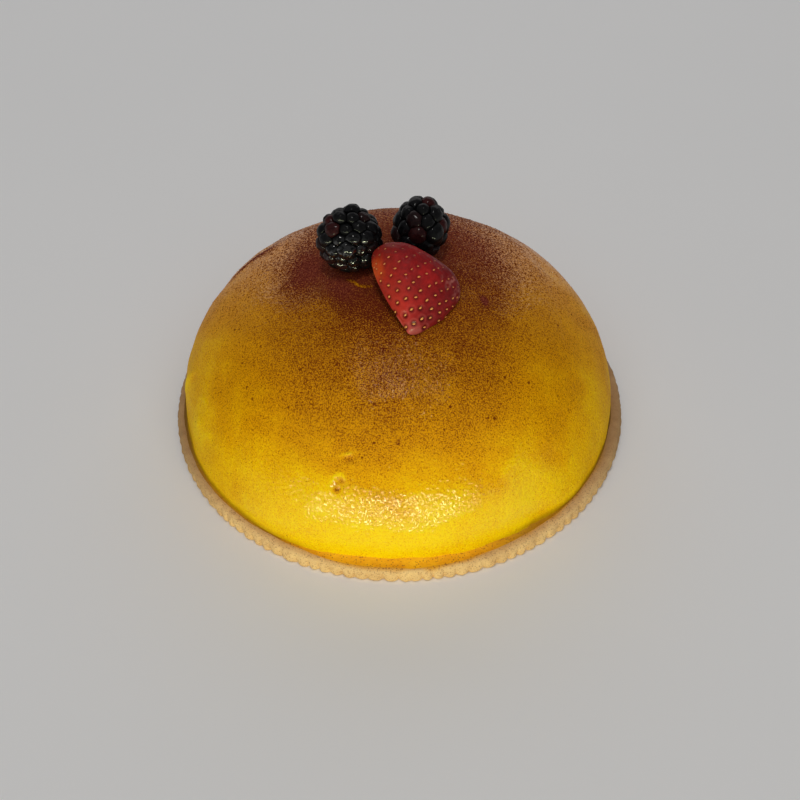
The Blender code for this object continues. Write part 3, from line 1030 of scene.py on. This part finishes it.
def seedPits(points, spots):
    # what the seeds do to the skin: how far it stands out (mm), how much painted shade darkens a pit, and
    # how much painted highlight pales its rim
    dents = np.zeros(len(points))
    pitShade = np.zeros(len(points))
    rims = np.zeros(len(points))
    for at, where in spots:
        wide = (0.72 + 0.50 * at) * mm
        gone = np.linalg.norm(points - strawberrySpot(at, where), axis=1) / wide
        dents -= (0.08 + 0.50 * at) * np.exp(-gone ** 2)
        dents += 0.08 * at * np.exp(-((gone - 1.75) / 0.5) ** 2)
        dark = 0.12 + 0.88 * ease(at, 0.30, 0.80)
        pitShade = np.maximum(pitShade, dark * np.exp(-(gone / 1.05) ** 4))
        rims = np.maximum(rims, ease(at, 0.70, 0.92) * np.exp(-((gone - 1.5) / 0.35) ** 2))
    return dents, pitShade, rims


def strawberryFinish():
    skin = Finish("strawberrySkin")
    blush = skin.noise(8.0 * mm, 3.0, 0.55)
    fine = skin.noise(0.8 * mm, 2.0, 0.6)
    colour = skin.ramp(blush * 0.45 + skin.noise(2.6 * mm, 3.0, 0.6) * 0.35 + fine * 0.2, [
        (0.34, (0.15, 0.008, 0.010)), (0.50, (0.24, 0.010, 0.012)), (0.66, (0.37, 0.013, 0.014))])
    # painted light: the lower left of the skin is lightened
    colour = skin.mix(skin.painted("paintedLight"), colour, (0.66, 0.040, 0.028))
    # painted shade: the right side of the skin is darkened
    colour = skin.mix(skin.painted("deep"), colour, (0.10, 0.007, 0.009))
    colour = skin.mix(skin.painted("warm"), colour, (0.55, 0.065, 0.008))
    # painted sheen: pale streaks over the right side
    sheenStreaks = skin.painted("sheenStreaks") * (blush * 0.9 + fine * 0.6 - 0.10)
    colour = skin.mix(skin.clamp(sheenStreaks), colour, (0.46, 0.15, 0.13))
    # painted highlight: the tip and the rims round the pits are lightened
    colour = skin.mix(skin.painted("pale") * 0.75, colour, (0.60, 0.13, 0.11))
    # painted shade in the seed pits
    colour = skin.mix(skin.painted("pit") * 0.85, colour, (0.060, 0.003, 0.003))
    skin.fill(skin.shader, {
        "Base Color": colour, "Roughness": 0.50, "IOR": 1.22,
        "Coat Weight": skin.painted("pale") * 0.8 + 0.05, "Coat Roughness": 0.12,
        "Normal": skin.bump(fine * 0.06), "Subsurface Weight": 0.05, "Subsurface Scale": 0.001,
        "Subsurface Radius": (1.0, 0.20, 0.12),
    })
    return skin


def fleshFinish():
    flesh = Finish("strawberryFlesh")
    # scaled so that the half's edges lie about 1 away from its middle
    values = {"Vector": flesh.spots(), "Location": tuple(strawberry["middle"]),
              "Rotation": tuple(strawberry["turn"].to_matrix().to_euler("XYZ")),
              "Scale": (strawberry["right"], strawberry["long"] * 0.5, strawberry["thick"])}
    inner = flesh.node("ShaderNodeMapping", {"vector_type": "TEXTURE"}, values)
    away = flesh.vectors("LENGTH", {0: inner}, "Value")
    streaks = flesh.noise(0.22, 3.0, 0.6, inner)
    colour = flesh.ramp(away + (streaks - 0.5) * 0.35, [
        (0.10, (0.80, 0.52, 0.46)), (0.45, (0.78, 0.33, 0.27)),
        (0.80, (0.60, 0.10, 0.08)), (1.00, (0.42, 0.03, 0.02))])
    flesh.fill(flesh.shader, {
        "Base Color": colour, "Roughness": 0.3, "IOR": 1.4, "Normal": flesh.bump(streaks * 0.3),
    })
    return flesh


def makeStrawberry():
    piece = halfBall("strawberryHalf", strawberry["detail"])
    pickFaces(piece, lambda middle, normal: normal.z < -0.9 and abs(middle.z) < 0.01)
    for inward in (0.02, 0.05, 0.10, 0.15):      # rings on the cut face, so that it can bulge
        bpy.ops.mesh.inset(thickness=inward)
    bpy.ops.object.mode_set(mode="OBJECT")
    ball = pointsOf(piece)
    along = np.clip(0.5 * (1.0 - ball[:, 1]), 0.0, 1.0) ** 1.35      # more points on the blunt shoulder
    ring = np.hypot(ball[:, 0], ball[:, 2])
    around = np.degrees(np.arctan2(ball[:, 2], ball[:, 0]))
    onSkin = np.abs(np.linalg.norm(ball, axis=1) - 1.0) < 1e-4
    points = strawberrySpot(along, around)
    middleLine = strawberrySpot(along, 0.0) * 0.5 + strawberrySpot(along, 180.0) * 0.5
    fullRing = np.sqrt(np.clip(1.0 - ball[:, 1] ** 2, 0.0, 1.0))
    share = np.where(onSkin, 1.0, ring / np.maximum(fullRing, 1e-6))
    points = middleLine + (points - middleLine) * share[:, None]
    points += np.where(onSkin, 0.0, 0.25 * mm * (1.0 - share))[:, None] * -berryTurn[:, 2]
    outward = points - middleLine
    outward /= np.linalg.norm(outward, axis=1)[:, None].clip(1e-9)
    spots = seedSpots()
    dents, pitShade, rims = seedPits(points, spots)
    # the skin is uneven, but not at the edge of the cut
    uneven = unevenness(points, strawberry["swells"]) * ease(np.sin(np.radians(around)), 0.0, 0.12)
    points += outward * ((dents * mm + uneven) * onSkin)[:, None]
    points[:, 2] = np.maximum(points[:, 2], domeTop(points[:, 0], points[:, 1]) + 0.12 * mm)
    movePoints(piece, points)
    rightward = np.cos(np.radians(around))
    tip = ease(along + 0.04 * ripple(points, 5 * mm, 53), 0.84, 1.0)
    # where the streaks of painted sheen lie
    stripes = ease(ripple(points @ berryTurn * np.array([1.5, 0.55, 1.5]), 4 * mm, 55), -0.3, 1.4)
    stripes *= ease(ripple(points, 2.2 * mm, 56), -1.2, 0.8)
    shades = {
        # painted shade in the seed pits
        "pit": pitShade,
        # painted highlight on the tip and round the pits
        "pale": np.maximum(tip * 0.55, rims * 0.28),
        # painted sheen in streaks on the right side
        "sheenStreaks": ease(rightward, 0.40, 0.75) * band(along, 0.03, 0.12, 0.30, 0.48) * stripes,
        # painted light on the lower left
        "paintedLight": 0.45 * ease(along, 0.35, 0.80) * ease(-rightward, -0.7, 0.5),
        # painted shade on the right side
        "deep": 0.45 * ease(rightward, 0.2, 0.9),
        "warm": 0.9 * ease(-rightward, 0.80, 0.97) * band(along, 0.24, 0.36, 0.42, 0.58)
                + 0.12 * ease(-rightward, 0.3, 0.9),
    }
    for name, values in shades.items():
        paintPoints(piece, name, values * onSkin)
    smoothShade(piece, 50)
    strawberryFinish().give(piece)
    fleshFinish().give(piece)
    for face in piece.data.polygons:
        face.material_index = 0 if all(onSkin[corner] for corner in face.vertices[:3]) else 1
    onRoot(piece, "strawberry", "strawberry_half")
    return spots


def seedFinish():
    hull = Finish("seedHull")
    tone = hull.noise(0.6 * mm, 2.0)
    colour = hull.ramp(tone * 0.3 + hull.painted("tint") * 0.7, [
        (0.20, (0.34, 0.075, 0.030)), (0.45, (0.62, 0.22, 0.07)),
        (0.65, (0.74, 0.28, 0.065)), (0.85, (0.86, 0.40, 0.10))])
    hull.fill(hull.shader, {
        "Base Color": colour, "Roughness": 0.35, "IOR": 1.45, "Normal": hull.bump(tone * 0.1),
    })
    return hull


def makeSeeds(spots):
    deselect()
    bpy.ops.mesh.primitive_ico_sphere_add(subdivisions=3, radius=1.0)
    pattern = stretched("seedPattern", (0.5, 0.5, 0.5))
    shape = pointsOf(pattern)
    taper = 1.0 - 0.45 * ease(shape[:, 1], 0.0, 0.5)     # a drop with one sharp end
    shape[:, 0] *= taper
    shape[:, 2] *= taper
    movePoints(pattern, shape)
    chance = np.random.default_rng(seeds["seed"] + 1)
    placed = []
    for at, where in spots:
        spot = strawberrySpot(at, where)
        ahead = strawberrySpot(min(at + 0.01, 0.999), where) - spot
        outward = np.cross(strawberrySpot(at, where + 1.0) - spot, ahead)
        outward /= np.linalg.norm(outward)
        if outward @ (spot - strawberrySpot(at, 0.0) * 0.5 - strawberrySpot(at, 180.0) * 0.5) < 0:
            outward = -outward
        back = np.cross(outward, seeds["across"])
        back /= np.linalg.norm(back)
        across = np.cross(back, outward)
        spin = math.radians(chance.uniform(-seeds["lean"], seeds["lean"]))
        backTurned = back * math.cos(spin) - across * math.sin(spin)
        acrossTurned = np.cross(backTurned, outward)
        # near the shoulder they are smaller, redder and less sunk in
        share = (0.62 + 0.38 * at) * chance.uniform(0.85, 1.10)
        size = np.array([seeds["width"], seeds["length"], seeds["height"]]) * share
        turn = np.stack([acrossTurned, backTurned, outward], axis=1) * size
        sunk = (0.10 + 0.24 * at) * mm - unevenness(spot[None], strawberry["swells"])[0]
        tint = chance.uniform(0.0, 0.35) + 0.65 * ease(at, 0.15, 0.60)
        placed.append((spot - outward * sunk, turn, tint))
    piece = copiesOf(pattern, "strawberrySeeds", placed)
    smoothShade(piece, 60)
    seedFinish().give(piece)
    onRoot(piece, "strawberry")


makeSeeds(makeStrawberry())
print("strawberry is halved and seeded")


powder = {
    "grains": 11000, "small": 0.08 * mm, "large": 0.22 * mm, "shape": (1.0, 0.8, 0.6), "seed": 61,
    "clear": 0.3,                    # how far their middles stand clear of the glaze, in grain sizes
}


def powderFinish():
    dry = Finish("winePowder")
    tone = dry.noise(0.5 * mm, 2.0)
    colour = dry.ramp(dry.painted("tint") * 0.7 + tone * 0.3, [
        (0.15, (0.11, 0.014, 0.008)), (0.5, (0.20, 0.045, 0.006)), (0.85, (0.50, 0.180, 0.006))])
    dry.fill(dry.shader, {"Base Color": colour, "Roughness": 0.9, "Specular IOR Level": 0.1,
                          "Normal": dry.bump(tone * 0.05)})
    return dry


def scatterPowder():
    chance = np.random.default_rng(powder["seed"])
    tries = powder["grains"] * 5
    turn = chance.uniform(-180.0, 180.0, tries)
    rise = np.degrees(np.arcsin(chance.uniform(0.0, 1.0, tries)))
    points = domeSpot(turn, rise)
    dust, wine = domeDust(points)
    # how likely a grain is to lie at each place
    wanted = 0.02 + 0.8 * np.clip(dust, 0.0, 1.0) ** 1.3 + 0.4 * wine
    kept = np.flatnonzero(chance.uniform(0.0, 1.0, tries) < wanted)[:powder["grains"]]
    points = points[kept]
    paler = 1.0 - np.clip(dust[kept], 0.0, 1.0)      # browner where the glaze shows, wine-coloured on top
    outward = domeOutward(points)
    body = points + outward * domeRise(points)[:, None]
    size = powder["small"] + (powder["large"] - powder["small"]) * chance.uniform(size=len(points)) ** 3
    deselect()
    bpy.ops.mesh.primitive_uv_sphere_add(segments=4, ring_count=3, radius=1.0)
    pattern = named("grain")
    bpy.ops.object.mode_set(mode="EDIT")
    bpy.ops.mesh.select_all(action="SELECT")
    bpy.ops.mesh.quads_convert_to_tris()
    bpy.ops.transform.resize(value=powder["shape"])
    bpy.ops.object.mode_set(mode="OBJECT")
    placed = []
    for place, out, radius, pale in zip(body, outward, size, paler):
        spin = Matrix.Rotation(chance.uniform(0, 2 * math.pi), 3, "Z")
        tint = 0.45 * chance.uniform() + 0.55 * pale
        turn = np.array(turnedTo(out) @ spin) * radius
        placed.append((place + out * radius * powder["clear"], turn, tint))
    piece = copiesOf(pattern, "powderGrains", placed)
    powderFinish().give(piece)
    onRoot(piece, "powder")


scatterPowder()
print("powder is scattered")
